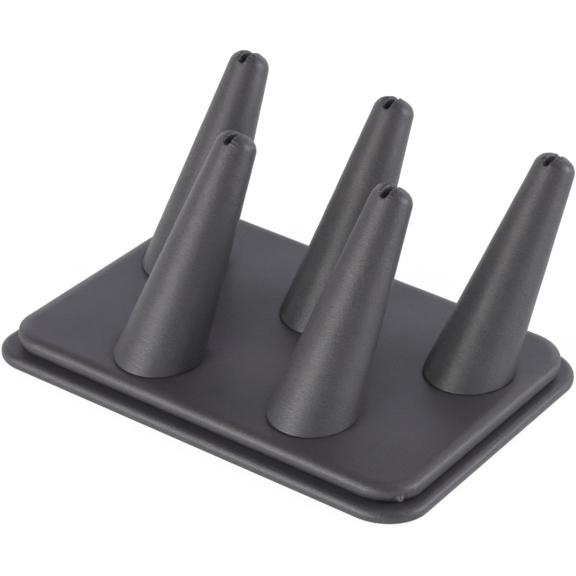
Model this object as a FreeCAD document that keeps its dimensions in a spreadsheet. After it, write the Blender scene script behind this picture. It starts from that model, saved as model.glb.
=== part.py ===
import FreeCAD, Part
import math
import os
import Sketcher

# A ring display stand in millimetres: a stepped base of two wrapped boards, and five leaning
# fingers, each a slotted core inside a sleeve of leather cloth.
# +X runs along the long front edge, +Y to the back and +Z up. The origin is the middle of the
# base, on the surface that the stand rests on.

V = FreeCAD.Vector

# The driving dimensions: the name of each cell, its value and what it measures.
SIZES = (
    ("base_length", 142.5, "lower tier, left to right"),
    ("base_depth", 107.4, "lower tier, front to back"),
    ("base_corner", 13.2, "lower tier, corner radius in plan"),
    ("side_ledge", 3.2, "step between the tiers at each end"),
    ("front_ledge", 4.4, "step between the tiers at the front and the back"),
    ("upper_corner", 12.8, "upper tier, corner radius in plan"),
    ("cloth", 0.5, "thickness of the leather cloth"),
    ("cloth_gap", 0.05, "slack between the cloth and what it wraps"),
    ("felt", 0.4, "thickness of the felt underneath"),
    ("felt_margin", 3.5, "cloth left bare round the felt"),
    ("lower_board", 2.5, "thickness of the lower board"),
    ("lower_top_round", 1.6, "lower tier, rounding of the top edge"),
    ("lower_foot_round", 0.8, "lower tier, rounding of the bottom edge"),
    ("lower_hem", 10.0, "cloth turned in under the lower board"),
    ("upper_board", 2.9, "thickness of the upper board"),
    ("foam", 2.1, "thickness of the foam pad"),
    ("upper_top_round", 2.4, "upper tier, rounding of the top edge"),
    ("upper_foot_round", 2.2, "upper tier, rounding of the bottom edge"),
    ("upper_hem", 9.0, "cloth turned in under the upper board"),
    ("finger_foot", 25.2, "finger diameter where its axis meets the pad"),
    ("finger_tip", 11.6, "finger diameter that the tapered side would reach at the tip"),
    ("finger_length", 67.0, "finger, from the pad to the tip along its axis"),
    ("finger_lean", 31.1, "angle by which a finger leans back from upright"),
    ("tip_shoulder", 4.2, "radius where the side turns into the tip"),
    ("tip_crown", 9.0, "radius of the tip's crown"),
    ("slot_width", 2.2, "open width of the slot in the tip"),
    ("slot_depth", 4.6, "depth of the slot below the tip"),
    ("slot_lip", 0.45, "rounding of the cloth along the slot"),
    ("foot_hem", 3.2, "cloth turned in under the foot of a finger"),
    ("screw_shank", 3.2, "diameter of a screw's shank"),
    ("screw_head", 6.4, "diameter of a screw's head"),
    ("screw_sink", 90.0, "angle of the head's cone"),
    ("screw_grip", 10.0, "length of a screw inside the finger's core"),
    ("screw_point", 2.6, "length of the screw's point"),
    ("screw_drive", 1.0, "width of the arms of the cross recess"),
    ("screw_drive_depth", 1.1, "depth of the cross recess"),
    ("screw_play", 0.05, "clearance round a screw"),
    ("back_left_inset", 21.45, "back left finger, from the left end of the base"),
    ("back_left_setback", 37.2, "back left finger, from the back edge"),
    ("back_left_turn", 5.2, "back left finger, turned to the left"),
    ("back_middle_shift", 1.1, "back middle finger, to the left of the middle"),
    ("back_middle_setback", 34.3, "back middle finger, from the back edge"),
    ("back_middle_turn", 2.6, "back middle finger, turned to the left"),
    ("back_right_inset", 21.85, "back right finger, from the right end of the base"),
    ("back_right_setback", 34.3, "back right finger, from the back edge"),
    ("back_right_turn", 5.2, "back right finger, turned to the right"),
    ("front_left_shift", 0.25, "front left finger, to the right of half way between two back ones"),
    ("front_left_inset", 23.1, "front left finger, from the front edge"),
    ("front_right_shift", 2.15, "front right finger, to the right of half way between two back ones"),
    ("front_right_inset", 25.6, "front right finger, from the front edge"),
)

# Where the back fingers stand across the base. The front ones stand between them.
BACK_LEFT_X = "Sizes.back_left_inset - Sizes.base_length / 2"
BACK_MIDDLE_X = "-Sizes.back_middle_shift"
BACK_RIGHT_X = "Sizes.base_length / 2 - Sizes.back_right_inset"

# Each finger: the name of its place, how far it stands to the right of and behind the middle
# of the base, and how far it is turned to the left.
FINGERS = (
    ("back_left", BACK_LEFT_X, "Sizes.base_depth / 2 - Sizes.back_left_setback",
     "Sizes.back_left_turn"),
    ("back_middle", BACK_MIDDLE_X, "Sizes.base_depth / 2 - Sizes.back_middle_setback",
     "Sizes.back_middle_turn"),
    ("back_right", BACK_RIGHT_X, "Sizes.base_depth / 2 - Sizes.back_right_setback",
     "-Sizes.back_right_turn"),
    ("front_left", "((%s) + (%s)) / 2 + Sizes.front_left_shift" % (BACK_LEFT_X, BACK_MIDDLE_X),
     "Sizes.front_left_inset - Sizes.base_depth / 2", "0"),
    ("front_right", "((%s) + (%s)) / 2 + Sizes.front_right_shift" % (BACK_MIDDLE_X, BACK_RIGHT_X),
     "Sizes.front_right_inset - Sizes.base_depth / 2", "0"),
)

# Heights in the stack, from the surface up.
LOWER_HEM_Z = "Sizes.felt"
LOWER_BOARD_Z = LOWER_HEM_Z + " + Sizes.cloth"
LOWER_TOP_Z = LOWER_BOARD_Z + " + Sizes.lower_board + Sizes.cloth"
UPPER_BOARD_Z = LOWER_TOP_Z + " + Sizes.cloth"
FOAM_Z = UPPER_BOARD_Z + " + Sizes.upper_board"
PAD_TOP_Z = FOAM_Z + " + Sizes.foam + Sizes.cloth"

# Plan sizes of the tiers.
UPPER_LENGTH = "Sizes.base_length - 2 * Sizes.side_ledge"
UPPER_DEPTH = "Sizes.base_depth - 2 * Sizes.front_ledge"

# What lies between the outside of a cloth and the board or core inside it.
WRAP = "(Sizes.cloth + Sizes.cloth_gap)"

# How fast a finger's radius falls along its axis, and the angle that its side makes with it.
SLOPE = "((Sizes.finger_foot - Sizes.finger_tip) / 2 / Sizes.finger_length)"
TAPER = "atan(%s)" % SLOPE

# Two lengths nearer than this are the same, and a point nearer than this to a curve is on it.
NEAR = 1e-6
ON_CURVE = 1e-4

doc = FreeCAD.newDocument("RingDisplayStand")
sheet = doc.addObject("Spreadsheet::Sheet", "Sizes")


def fill_sheet():
    """Write the driving dimensions into the sheet, each in a cell with its name."""
    for number, (name, amount, words) in enumerate(SIZES, 1):
        sheet.set("A%d" % number, words)
        sheet.set("B%d" % number, str(amount))
        sheet.setAlias("B%d" % number, name)
    doc.recompute()


def value(expression):
    """The number that an expression in the sheet's cells gives."""
    result = sheet.evalExpression(expression)
    return float(getattr(result, "Value", result))


def new_body(name):
    return doc.addObject("PartDesign::Body", name)


def new_sketch(body, name, plane, offset=None):
    """An empty sketch on one of the body's own planes, moved or tilted off it by the offset."""
    sketch = body.newObject("Sketcher::SketchObject", name)
    support = [feature for feature in body.Origin.OriginFeatures if feature.Role == plane]
    sketch.AttachmentSupport = [(support[0], "")]
    sketch.MapMode = "FlatFace"
    if offset:
        sketch.setExpression("AttachmentOffset", offset)
    return sketch


def tie(sketch, kind, places, expression, name):
    """Add a dimension to a sketch and bind it to the sheet. Angles are in degrees there."""
    amount = value(expression)
    if kind == "Angle":
        amount = math.radians(amount)
    number = sketch.addConstraint(Sketcher.Constraint(kind, *places, amount))
    sketch.renameConstraint(number, name)
    sketch.setExpression("Constraints." + name, expression)


def tie_point(sketch, geometry, point, across, up, name):
    """Place a point of a sketch from the origin, across and up."""
    tie(sketch, "DistanceX", (-1, 1, geometry, point), across, name + "_x")
    tie(sketch, "DistanceY", (-1, 1, geometry, point), up, name + "_y")


def draw_rounded_rectangle(sketch, length, depth, corner):
    """A rectangle with round corners about the sketch's origin: four sides and four arcs."""
    half_x = value(length) / 2
    half_y = value(depth) / 2
    radius = value(corner)
    centres = [
        V(half_x - radius, half_y - radius, 0),
        V(radius - half_x, half_y - radius, 0),
        V(radius - half_x, radius - half_y, 0),
        V(half_x - radius, radius - half_y, 0),
    ]
    arcs = []
    for number, centre in enumerate(centres):
        start = number * math.pi / 2
        circle = Part.Circle(centre, V(0, 0, 1), radius)
        arc = Part.ArcOfCircle(circle, start, start + math.pi / 2)
        arcs.append(sketch.addGeometry(arc, False))
    for number in range(4):
        follower = arcs[(number + 1) % 4]
        side = Part.LineSegment(
            sketch.getPoint(arcs[number], 2), sketch.getPoint(follower, 1))
        line = sketch.addGeometry(side, False)
        sketch.addConstraint(Sketcher.Constraint("Tangent", arcs[number], 2, line, 1))
        sketch.addConstraint(Sketcher.Constraint("Tangent", line, 2, follower, 1))
        direction = "Horizontal" if number % 2 == 0 else "Vertical"
        sketch.addConstraint(Sketcher.Constraint(direction, line))
    for follower in arcs[1:]:
        sketch.addConstraint(Sketcher.Constraint("Equal", arcs[0], follower))
    origin = (-1, 1)
    sketch.addConstraint(Sketcher.Constraint("Symmetric", arcs[0], 3, arcs[2], 3, *origin))
    tie(sketch, "Radius", (arcs[0],), corner, "corner")
    tie(sketch, "DistanceX", (arcs[1], 2, arcs[0], 1), length, "length")
    tie(sketch, "DistanceY", (arcs[3], 1, arcs[1], 1), depth, "depth")


def draw_circle(sketch, radius, name, centre=("0", "0")):
    """A full circle, with its centre bound as well when it isn't the origin."""
    middle = V(value(centre[0]), value(centre[1]), 0)
    circle = sketch.addGeometry(Part.Circle(middle, V(0, 0, 1), value(radius)), False)
    tie(sketch, "Radius", (circle,), radius, name)
    if centre == ("0", "0"):
        sketch.addConstraint(Sketcher.Constraint("Coincident", circle, 3, -1, 1))
        return
    tie_point(sketch, circle, 3, *centre, name)


def draw_outline(sketch, corners):
    """A closed outline of straight sides. Each corner is a pair of expressions, across and up."""
    points = [V(value(across), value(up), 0) for across, up in corners]
    sides = []
    for number, point in enumerate(points):
        follower = points[(number + 1) % len(points)]
        sides.append(sketch.addGeometry(Part.LineSegment(point, follower), False))
    for number, side in enumerate(sides):
        follower = sides[(number + 1) % len(sides)]
        sketch.addConstraint(Sketcher.Constraint("Coincident", side, 2, follower, 1))
        tie_point(sketch, side, 1, *corners[number], "corner_%d" % number)


def draw_bar(sketch, length, width):
    """A straight rectangle about the sketch's origin."""
    across = "(%s) / 2" % length
    up = "(%s) / 2" % width
    draw_outline(sketch, (
        ("-" + across, "-" + up), (across, "-" + up), (across, up), ("-" + across, up)))


def pad(body, sketch, name, height):
    feature = body.newObject("PartDesign::Pad", name)
    feature.Profile = sketch
    feature.setExpression("Length", height)
    doc.recompute()
    return feature


def revolve(body, sketch, name):
    """Turn a half profile about the sketch's upright axis."""
    feature = body.newObject("PartDesign::Revolution", name)
    feature.Profile = sketch
    feature.ReferenceAxis = (sketch, ["V_Axis"])
    feature.Angle = 360
    doc.recompute()
    return feature


def cut(body, sketch, name, sides="One side", depth=None, upwards=False):
    """Cut a sketch into a body, through it all where no depth is given.

    A cut on one side goes down from its sketch unless it is told to go upwards.
    """
    before = body.Shape.Volume
    feature = body.newObject("PartDesign::Pocket", name)
    feature.Profile = sketch
    feature.SideType = sides
    feature.Reversed = upwards
    if depth:
        feature.setExpression("Length", depth)
    else:
        feature.Type = "ThroughAll"
    doc.recompute()
    if not body.Shape.Volume < before:
        raise RuntimeError("the cut %s removed nothing" % name)
    return feature


def round_edges(body, feature, wanted, radius, name):
    """Round the edges of a feature that the test wanted picks."""
    names = []
    for number, edge in enumerate(feature.Shape.Edges, 1):
        if wanted(edge):
            names.append("Edge%d" % number)
    fillet = body.newObject("PartDesign::Fillet", name)
    fillet.Base = (feature, names)
    fillet.setExpression("Radius", radius)
    doc.recompute()
    return fillet


def round_level(body, feature, height, radius, name):
    """Round the edges of a feature that lie level at a height in its body."""
    def level(edge):
        box = edge.BoundBox
        return abs(box.ZMin - height) < NEAR and abs(box.ZMax - height) < NEAR
    return round_edges(body, feature, level, radius, name)


def make_slab(name, length, depth, corner, bottom, height, top_round=None, foot_round=None):
    """A board, pad or filling: a rounded rectangle with its edges eased above and below."""
    body = new_body(name)
    sketch = new_sketch(body, name + "_plan", "XY_Plane")
    draw_rounded_rectangle(sketch, length, depth, corner)
    feature = pad(body, sketch, name + "_slab", height)
    if top_round:
        feature = round_level(body, feature, value(height), top_round, name + "_top_round")
    if foot_round:
        feature = round_level(body, feature, 0.0, foot_round, name + "_foot_round")
    body.setExpression("Placement.Base.z", bottom)
    return body


def drill(body, name, diameter, centres):
    """Round holes up through a body at the centres."""
    sketch = new_sketch(body, name + "_plan", "XY_Plane")
    for number, centre in enumerate(centres):
        draw_circle(sketch, "(%s) / 2" % diameter, "hole_%d" % number, centre)
    return cut(body, sketch, name, sides="Symmetric")


def finger_centres():
    return [(across, back) for name, across, back, turn in FINGERS]


SCREW_HOLE = "Sizes.screw_shank + 2 * Sizes.screw_play"


def make_base_felt():
    """The felt sheet under the base, which is what the stand rests on."""
    margins = "2 * Sizes.felt_margin"
    return make_slab(
        "base_felt", "Sizes.base_length - " + margins, "Sizes.base_depth - " + margins,
        "Sizes.base_corner - Sizes.felt_margin", "0", "Sizes.felt")


def make_cover(name, outside, filling, window):
    """Leather cloth wrapped round a filling, open below inside its turned-in hem."""
    hollow = doc.addObject("Part::Cut", name + "_shell")
    hollow.Base = outside
    hollow.Tool = filling
    cover = doc.addObject("Part::Cut", name)
    cover.Base = hollow
    cover.Tool = window
    doc.recompute()
    return cover


def make_lower_tier():
    """The lower board and its cover."""
    rounds = ("Sizes.lower_top_round - Sizes.cloth", "Sizes.lower_foot_round - Sizes.cloth")
    board = make_slab(
        "lower_board", "Sizes.base_length - 2 * " + WRAP, "Sizes.base_depth - 2 * " + WRAP,
        "Sizes.base_corner - " + WRAP, LOWER_BOARD_Z, "Sizes.lower_board", *rounds)
    outside = make_slab(
        "lower_outside", "Sizes.base_length", "Sizes.base_depth", "Sizes.base_corner",
        LOWER_HEM_Z, "Sizes.lower_board + 2 * Sizes.cloth",
        "Sizes.lower_top_round", "Sizes.lower_foot_round")
    filling = make_slab(
        "lower_filling", "Sizes.base_length - 2 * Sizes.cloth",
        "Sizes.base_depth - 2 * Sizes.cloth", "Sizes.base_corner - Sizes.cloth",
        LOWER_BOARD_Z, "Sizes.lower_board", *rounds)
    window = make_slab(
        "lower_window", "Sizes.base_length - 2 * Sizes.lower_hem",
        "Sizes.base_depth - 2 * Sizes.lower_hem", "Sizes.base_corner / 2",
        LOWER_HEM_Z, "Sizes.cloth")
    return [board, make_cover("lower_cover", outside, filling, window)]


def make_upper_board():
    """The upper board, drilled and countersunk from below for the finger screws."""
    board = make_slab(
        "upper_board", UPPER_LENGTH + " - 2 * " + WRAP, UPPER_DEPTH + " - 2 * " + WRAP,
        "Sizes.upper_corner - " + WRAP, UPPER_BOARD_Z, "Sizes.upper_board",
        foot_round="Sizes.upper_foot_round - Sizes.cloth")
    before = board.Shape.Volume
    sketch = new_sketch(board, "countersinks", "XY_Plane")
    for number, centre in enumerate(finger_centres()):
        draw_circle(sketch, "Sizes.screw_head / 2", "sink_%d" % number, centre)
    hole = board.newObject("PartDesign::Hole", "screw_holes")
    hole.Profile = sketch
    doc.recompute()
    hole.Reversed = True
    hole.DepthType = "ThroughAll"
    hole.setExpression("Diameter", SCREW_HOLE)
    hole.HoleCutType = "Countersink"
    hole.HoleCutCustomValues = True
    hole.setExpression("HoleCutDiameter", "Sizes.screw_head + 2 * Sizes.screw_play")
    hole.setExpression("HoleCutCountersinkAngle", "Sizes.screw_sink")
    doc.recompute()
    if not board.Shape.Volume < before:
        raise RuntimeError("the screw holes removed nothing")
    return board


def make_upper_tier():
    """The upper board, the foam pad on it and the cover round both."""
    board = make_upper_board()
    foam = make_slab(
        "foam_pad", UPPER_LENGTH + " - 2 * " + WRAP, UPPER_DEPTH + " - 2 * " + WRAP,
        "Sizes.upper_corner - " + WRAP, FOAM_Z, "Sizes.foam",
        top_round="Sizes.upper_top_round - Sizes.cloth")
    drill(foam, "foam_holes", SCREW_HOLE, finger_centres())
    filled = "Sizes.upper_board + Sizes.foam"
    outside = make_slab(
        "upper_outside", UPPER_LENGTH, UPPER_DEPTH, "Sizes.upper_corner",
        LOWER_TOP_Z, filled + " + 2 * Sizes.cloth",
        "Sizes.upper_top_round", "Sizes.upper_foot_round")
    drill(outside, "cover_holes", SCREW_HOLE, finger_centres())
    filling = make_slab(
        "upper_filling", UPPER_LENGTH + " - 2 * Sizes.cloth",
        UPPER_DEPTH + " - 2 * Sizes.cloth", "Sizes.upper_corner - Sizes.cloth",
        UPPER_BOARD_Z, filled,
        "Sizes.upper_top_round - Sizes.cloth", "Sizes.upper_foot_round - Sizes.cloth")
    window = make_slab(
        "upper_window", UPPER_LENGTH + " - 2 * Sizes.upper_hem",
        UPPER_DEPTH + " - 2 * Sizes.upper_hem", "Sizes.upper_corner / 2",
        LOWER_TOP_Z, "Sizes.cloth")
    return [board, foam, make_cover("upper_cover", outside, filling, window)]


# The plane that holds a finger's axis and its width: the upright plane across the finger,
# leaned back about the line where it meets the pad.
LEANING = "placement(vector(0; 0; 0); rotation(vector(1; 0; 0); -Sizes.finger_lean))"


def tip_arcs(inset):
    """The centre of the shoulder arc, and the angle at which it hands over to the crown.

    The shoulder touches the side from inside and the crown, whose centre is on the axis.
    """
    slope = value(SLOPE)
    shoulder = value("Sizes.tip_shoulder - " + inset)
    crown_centre = value("Sizes.finger_length - Sizes.tip_crown")
    reach = value("Sizes.tip_crown - Sizes.tip_shoulder")
    side_x = value("Sizes.finger_foot / 2 - %s / cos(%s)" % (inset, TAPER))
    foot_x = side_x - shoulder * math.hypot(1, slope)
    linear = -2 * (foot_x * slope + crown_centre)
    square = 1 + slope ** 2
    constant = foot_x ** 2 + crown_centre ** 2 - reach ** 2
    centre_z = (math.sqrt(linear ** 2 - 4 * square * constant) - linear) / (2 * square)
    centre = V(foot_x - slope * centre_z, centre_z, 0)
    return centre, math.atan2(centre_z - crown_centre, centre.x)


def draw_finger(sketch, inset):
    """Half of a finger's profile: a straight tapered side, a tight shoulder and a flat crown.

    The profile runs on below the pad, to be cut off level. The inset keeps it that far inside
    the cloth all round.
    """
    taper = math.radians(value(TAPER))
    centre, handover = tip_arcs(inset)
    below = "Sizes.finger_foot"
    foot_x = "Sizes.finger_foot / 2 - %s / cos(%s)" % (inset, TAPER)
    corner_x = "%s + %s * %s" % (foot_x, below, SLOPE)
    up = V(0, 0, 1)
    shoulder_circle = Part.Circle(centre, up, value("Sizes.tip_shoulder - " + inset))
    crown_centre = V(0, value("Sizes.finger_length - Sizes.tip_crown"), 0)
    crown_circle = Part.Circle(crown_centre, up, value("Sizes.tip_crown - " + inset))
    shoulder = sketch.addGeometry(Part.ArcOfCircle(shoulder_circle, taper, handover), False)
    crown = sketch.addGeometry(Part.ArcOfCircle(crown_circle, handover, math.pi / 2), False)
    bottom_middle = V(0, -value(below), 0)
    corner = V(value(corner_x), -value(below), 0)
    side = sketch.addGeometry(Part.LineSegment(corner, sketch.getPoint(shoulder, 1)), False)
    bottom = sketch.addGeometry(Part.LineSegment(bottom_middle, corner), False)
    axis = sketch.addGeometry(
        Part.LineSegment(sketch.getPoint(crown, 2), bottom_middle), False)
    for kind, *places in (
            ("Tangent", side, 2, shoulder, 1), ("Tangent", shoulder, 2, crown, 1),
            ("Coincident", crown, 2, axis, 1), ("Coincident", axis, 2, bottom, 1),
            ("Coincident", bottom, 2, side, 1), ("PointOnObject", crown, 3, -2),
            ("PointOnObject", crown, 2, -2), ("PointOnObject", axis, 2, -2),
            ("Horizontal", bottom)):
        sketch.addConstraint(Sketcher.Constraint(kind, *places))
    tie(sketch, "Radius", (shoulder,), "Sizes.tip_shoulder - " + inset, "shoulder")
    tie(sketch, "Radius", (crown,), "Sizes.tip_crown - " + inset, "crown")
    tie(sketch, "DistanceY", (-1, 1, crown, 2), "Sizes.finger_length - " + inset, "length")
    tie(sketch, "Angle", (side,), "90 deg + " + TAPER, "taper")
    tie_point(sketch, side, 1, corner_x, "-" + below, "corner")


def draw_slot(sketch, inset):
    """The slot's section: upright sides and a round bottom, wider by the inset on each side."""
    radius = "Sizes.slot_width / 2 + " + inset
    centre_up = "Sizes.finger_length - Sizes.slot_depth + Sizes.slot_width / 2"
    top_up = "Sizes.finger_length + Sizes.slot_width"
    half = value(radius)
    centre = V(0, value(centre_up), 0)
    top = value(top_up)
    circle = Part.Circle(centre, V(0, 0, 1), half)
    bottom = sketch.addGeometry(Part.ArcOfCircle(circle, math.pi, 2 * math.pi), False)
    right = sketch.addGeometry(Part.LineSegment(V(half, centre.y, 0), V(half, top, 0)), False)
    lid = sketch.addGeometry(Part.LineSegment(V(half, top, 0), V(-half, top, 0)), False)
    left = sketch.addGeometry(Part.LineSegment(V(-half, top, 0), V(-half, centre.y, 0)), False)
    for kind, *places in (
            ("Tangent", bottom, 2, right, 1), ("Tangent", left, 2, bottom, 1),
            ("Coincident", right, 2, lid, 1), ("Coincident", lid, 2, left, 1),
            ("Vertical", right), ("Vertical", left), ("Horizontal", lid),
            ("PointOnObject", bottom, 3, -2)):
        sketch.addConstraint(Sketcher.Constraint(kind, *places))
    tie(sketch, "Radius", (bottom,), radius, "radius")
    tie(sketch, "DistanceY", (-1, 1, bottom, 3), centre_up, "centre")
    tie(sketch, "DistanceY", (-1, 1, lid, 1), top_up, "top")


def is_slot_mouth(edge):
    """Whether an edge of a finger is where the slot's walls come out of the tip.

    Those edges have the slot's section for their outline when looked at along the slot, and
    are curved. The straight ones run along the slot's round bottom.
    """
    if edge.Curve.TypeId == "Part::GeomLine":
        return False
    lean = math.radians(value("Sizes.finger_lean"))
    half = value("Sizes.slot_width / 2")
    centre = value("Sizes.finger_length - Sizes.slot_depth + Sizes.slot_width / 2")
    span = edge.LastParameter - edge.FirstParameter
    for share in (0.1, 0.3, 0.5, 0.7, 0.9):
        point = edge.valueAt(edge.FirstParameter + share * span)
        along = point.y * math.sin(lean) + point.z * math.cos(lean)
        out = abs(point.x) if along > centre else math.hypot(point.x, along - centre)
        if abs(out - half) > ON_CURVE:
            return False
    return True


def make_finger_form(name, inset, lift, lip=None):
    """A slotted, leaning finger that lies the inset inside the cloth and is cut off level."""
    body = new_body(name)
    profile = new_sketch(body, name + "_profile", "XZ_Plane", LEANING)
    draw_finger(profile, inset)
    revolve(body, profile, name + "_turned")
    section = new_sketch(body, name + "_slot_section", "XZ_Plane", LEANING)
    draw_slot(section, inset)
    feature = cut(body, section, name + "_slot", sides="Symmetric")
    if lip:
        round_edges(body, feature, is_slot_mouth, lip, name + "_lip")
    level = "placement(vector(0; 0; %s); rotation(0; 0; 0))" % lift
    foot = new_sketch(body, name + "_foot_plan", "XY_Plane", level)
    draw_bar(foot, "4 * Sizes.finger_foot", "4 * Sizes.finger_foot")
    cut(body, foot, name + "_foot")
    return body


def stand(part, place, height):
    """Put a part in the place and turn of a finger, at a height."""
    name, across, back, turn = place
    part.setExpression("Placement", (
        "placement(vector(%s; %s; %s); rotation(%s; 0; 0))" % (across, back, height, turn)))


def make_cores():
    """The wooden cores, slotted at the tip and bored from below for their screws."""
    cores = []
    for place in FINGERS:
        name = place[0] + "_core"
        core = make_finger_form(name, WRAP, "Sizes.cloth")
        bore = new_sketch(core, name + "_bore_plan", "XY_Plane")
        draw_circle(bore, "(%s) / 2" % SCREW_HOLE, "bore")
        cut(core, bore, name + "_bore", depth="Sizes.screw_grip + Sizes.screw_play", upwards=True)
        stand(core, place, PAD_TOP_Z)
        cores.append(core)
    return cores


def make_sleeves():
    """The leather cloth round each core, tucked into the slot and turned in under the foot."""
    outside = make_finger_form("sleeve_outside", "0", "0", "Sizes.slot_lip")
    filling = make_finger_form("sleeve_filling", "Sizes.cloth", "Sizes.cloth")
    window = new_body("sleeve_window")
    plan = new_sketch(window, "sleeve_window_plan", "XY_Plane")
    draw_circle(plan, "Sizes.finger_foot / 2 - Sizes.foot_hem", "window")
    pad(window, plan, "sleeve_window_disc", "Sizes.cloth")
    sleeves = []
    for place in FINGERS:
        sleeve = make_cover(place[0] + "_sleeve", outside, filling, window)
        stand(sleeve, place, PAD_TOP_Z)
        sleeves.append(sleeve)
    return sleeves


def make_screw():
    """A countersunk wood screw, head down, with a cross recess."""
    screw = new_body("screw")
    profile = new_sketch(screw, "screw_profile", "XZ_Plane")
    sink = "(Sizes.screw_head - Sizes.screw_shank) / 2 / tan(Sizes.screw_sink / 2)"
    length = "Sizes.upper_board + Sizes.foam + Sizes.cloth + Sizes.screw_grip"
    draw_outline(profile, (
        ("0", "0"), ("Sizes.screw_head / 2", "0"), ("Sizes.screw_shank / 2", sink),
        ("Sizes.screw_shank / 2", length + " - Sizes.screw_point"), ("0", length)))
    revolve(screw, profile, "screw_turned")
    for number, turn in enumerate((0, 90)):
        arm = new_sketch(
            screw, "screw_arm_plan_%d" % number, "XY_Plane",
            "placement(vector(0; 0; 0); rotation(%d; 0; 0))" % turn)
        draw_bar(arm, "Sizes.screw_head / 2", "Sizes.screw_drive")
        cut(screw, arm, "screw_arm_%d" % number, depth="Sizes.screw_drive_depth", upwards=True)
    return screw


def make_finger_screws():
    """One screw up into each finger, as a group of separate solids."""
    screw = make_screw()
    copies = []
    for place in FINGERS:
        copy = doc.addObject("App::Link", place[0] + "_screw")
        copy.LinkedObject = screw
        stand(copy, place, UPPER_BOARD_Z)
        copies.append(copy)
    screws = doc.addObject("Part::Compound", "finger_screws")
    screws.Links = copies
    doc.recompute()
    return screws


def check_document(parts):
    """Stop if an object failed to build, or if a part's shape isn't sound."""
    for item in doc.Objects:
        if "Invalid" in item.State or "Error" in item.State:
            raise RuntimeError("%s is in the state %s" % (item.Name, item.State))
    for part in parts:
        if part.Shape.isNull() or not part.Shape.isValid():
            raise RuntimeError("the shape of %s isn't sound" % part.Label)


def write_parts(parts):
    os.makedirs("parts", exist_ok=True)
    for part in parts:
        part.Shape.exportStep("parts/%s.step" % part.Label)
        print("%-20s %d solids %10.1f mm3" % (
            part.Label, len(part.Shape.Solids), part.Shape.Volume))


fill_sheet()
pieces = [make_base_felt()]
pieces += make_lower_tier()
pieces += make_upper_tier()
pieces += make_cores()
pieces += make_sleeves()
pieces.append(make_finger_screws())
doc.recompute()
check_document(pieces)
write_parts(pieces)
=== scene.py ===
"""The looks of a ring display stand: cloth-wrapped tiers, slotted sleeves, and a pale stage."""

import math

import bpy
import numpy as np
from bpy.props import FloatProperty, FloatVectorProperty, PointerProperty
from mathutils import Matrix, Vector


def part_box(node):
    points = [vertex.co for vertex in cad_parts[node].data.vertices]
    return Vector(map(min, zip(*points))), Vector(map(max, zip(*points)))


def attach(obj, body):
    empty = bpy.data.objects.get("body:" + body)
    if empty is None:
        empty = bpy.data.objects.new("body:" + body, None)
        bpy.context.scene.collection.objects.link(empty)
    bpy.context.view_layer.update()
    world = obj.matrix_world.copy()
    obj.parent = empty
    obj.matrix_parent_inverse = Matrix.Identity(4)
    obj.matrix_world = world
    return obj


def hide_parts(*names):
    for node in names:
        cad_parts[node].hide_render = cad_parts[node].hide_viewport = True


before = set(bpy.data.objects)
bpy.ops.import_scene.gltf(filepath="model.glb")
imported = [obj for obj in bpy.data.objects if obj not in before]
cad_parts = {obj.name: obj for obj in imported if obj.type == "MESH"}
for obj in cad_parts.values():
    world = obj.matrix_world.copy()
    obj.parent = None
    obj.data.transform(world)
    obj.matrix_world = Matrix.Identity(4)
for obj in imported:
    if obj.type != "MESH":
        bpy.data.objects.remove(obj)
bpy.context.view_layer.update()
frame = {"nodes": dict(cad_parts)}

bl_info = {
    "name": "Ring display stand",
    "version": (1, 0, 0),
    "blender": (4, 5, 0),
    "location": "3D View > Sidebar > Ring stand",
    "description": "Wraps the ring stand's boards and fingers in leather cloth and lights them",
    "category": "Add Mesh",
}

MM = 0.001
LOWER_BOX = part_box("lower_cover")
UPPER_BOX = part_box("upper_cover")

# Where each finger stands on the pad, in millimetres, how far it is turned to the left, in
# degrees, and how far the tip's left and right lobes are plumped up, in millimetres.
FINGERS = {
    "back_left": (-49.8, 16.5, 5.2, (0.15, 0.1)),
    "back_middle": (-1.1, 19.4, 2.6, (0.15, 0.1)),
    "back_right": (49.4, 19.4, -5.2, (0.15, 0.1)),
    "front_left": (-25.2, -30.6, 0.0, (0.3, 0.1)),
    "front_right": (26.3, -28.1, 0.0, (0.6, 0.1)),
}
FOOT_SINK = 0.17 * MM    # how far a sleeve's foot presses into the pad

# The lamps: name, bearing and height in degrees, colour and share of the lamp level. Each is a
# square of the stage's lamp width, a metre away.
LAMPS = (
    ("high_front_lamp", -15.0, 38.0, (1.0, 1.0, 0.93), 0.34),
    ("high_left_lamp", -40.0, 38.0, (1.0, 0.84, 0.66), 0.14),
    ("high_back_lamp", 150.0, 55.0, (1.0, 0.90, 0.98), 0.15),
    ("front_left_lamp", -40.0, 22.0, (0.66, 0.72, 1.0), 0.13),
    ("left_lamp", -120.0, 22.0, (0.85, 0.76, 1.0), 0.15),
    ("back_left_lamp", -152.0, 25.0, (0.80, 0.78, 1.0), 0.07),
    ("back_lamp", 180.0, 22.0, (0.88, 0.88, 1.0), 0.13),
    ("right_lamp", 120.0, 22.0, (0.90, 0.88, 1.0), 0.75),
    ("low_front_lamp", -15.0, 2.0, (0.96, 0.94, 1.0), 0.92),
    ("front_lamp", 12.0, 8.0, (1.0, 0.98, 0.93), 0.17),
)

CLOTH_FINISH = "cross_grain_cloth"


# Sizes and colours


def length(name, description, millimetres):
    """A size in the panel, given in millimetres."""
    return FloatProperty(name=name, description=description, default=millimetres * MM,
                         precision=5, unit="LENGTH")


def angle(name, description, degrees):
    """An angle in the panel, given in degrees."""
    return FloatProperty(name=name, description=description, default=math.radians(degrees),
                         subtype="ANGLE")


def share(name, description, amount):
    """A number from none to all."""
    return FloatProperty(name=name, description=description, default=amount, min=0.0, max=1.0,
                         subtype="FACTOR")


def colour(name, description, red, green, blue):
    """A linear colour."""
    return FloatVectorProperty(name=name, description=description, default=(red, green, blue),
                               size=3, min=0.0, max=1.0, subtype="COLOR")


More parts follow.
